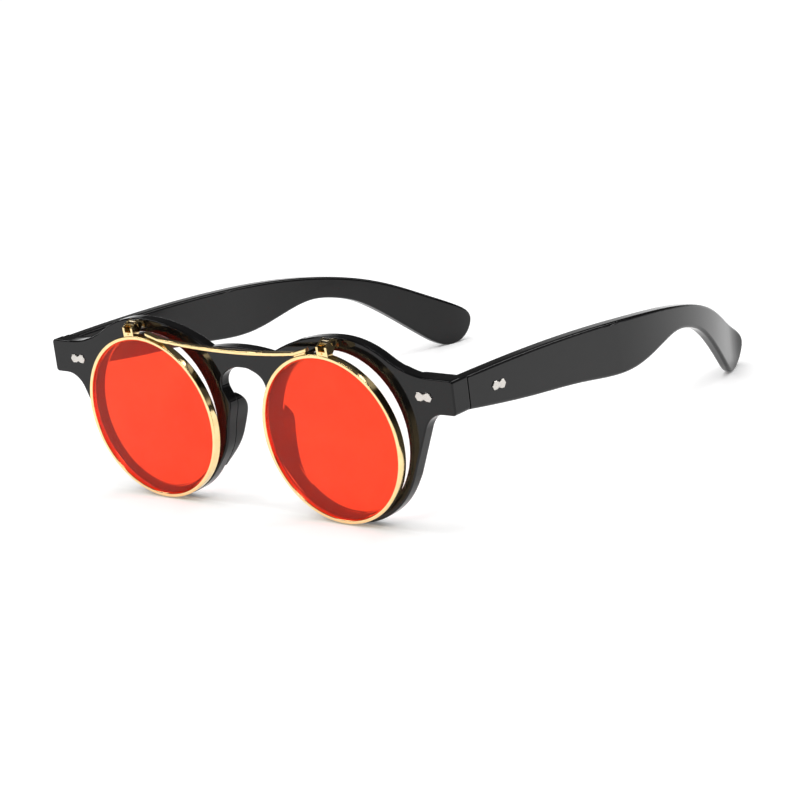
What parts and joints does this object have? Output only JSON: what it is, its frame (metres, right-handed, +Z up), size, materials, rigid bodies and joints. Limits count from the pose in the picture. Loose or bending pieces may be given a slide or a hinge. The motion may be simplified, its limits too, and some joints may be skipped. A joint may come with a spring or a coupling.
{
  "type": "flip up sunglasses",
  "caption": "Round keyhole-bridge eyeglasses with clear lenses, folding temples and a hinged gold-rimmed set of red lenses that flips up from the brow.",
  "frame": {"origin": "on the floor under the middle of the part's box, with the rims and temple tips standing on it", "axes": "+X to the right side in the picture's front view, +Y from the front back along the temples, +Z up"},
  "size_m": [0.1452, 0.1612, 0.0507],
  "materials": {
    "frame_black": "polished",
    "lens_clear": "polished",
    "lens_red": "polished",
    "metal_gold": "polished",
    "metal_silver": "polished"
  },
  "bodies": {
    "front": {"front_frame": "frame_black", "nose_pad_left": "frame_black", "clear_lens_left": "lens_clear", "front_rivet_left": "metal_silver", "front_hinge_leaf_left": "metal_silver", "hinge_screw_left": "metal_silver", "flip_hinge_base_left": "metal_gold", "nose_pad_right": "frame_black", "clear_lens_right": "lens_clear", "front_rivet_right": "metal_silver", "front_hinge_leaf_right": "metal_silver", "hinge_screw_right": "metal_silver", "flip_hinge_base_right": "metal_gold"},
    "flip_up": {"bridge_bar": "metal_gold", "flip_rim_left": "metal_gold", "tinted_lens_left": "lens_red", "flip_lug_left": "metal_gold", "flip_hinge_pin_left": "metal_gold", "bar_block_left": "metal_gold", "flip_rim_right": "metal_gold", "tinted_lens_right": "lens_red", "flip_lug_right": "metal_gold", "flip_hinge_pin_right": "metal_gold", "bar_block_right": "metal_gold"},
    "temple_left": {"temple_left": "frame_black", "temple_hinge_leaf_left": "metal_silver", "temple_rivet_left": "metal_silver"},
    "temple_right": {"temple_right": "frame_black", "temple_hinge_leaf_right": "metal_silver", "temple_rivet_right": "metal_silver"}
  },
  "joints": [
    {"name": "flip_hinge", "type": "hinge", "parent": "front", "child": "flip_up", "pos_m": [0, -0.07767, 0.04955], "axis": [-1, 0, 0], "range_deg": [0, 95]},
    {"name": "temple_hinge_left", "type": "hinge", "parent": "front", "child": "temple_left", "pos_m": [-0.0667, -0.06657, 0.03675], "axis": [0, 0, -1], "range_deg": [0, 86]},
    {"name": "temple_hinge_right", "type": "hinge", "parent": "front", "child": "temple_right", "pos_m": [0.0667, -0.06657, 0.03675], "axis": [0, 0, 1], "range_deg": [0, 76]}
  ]
}
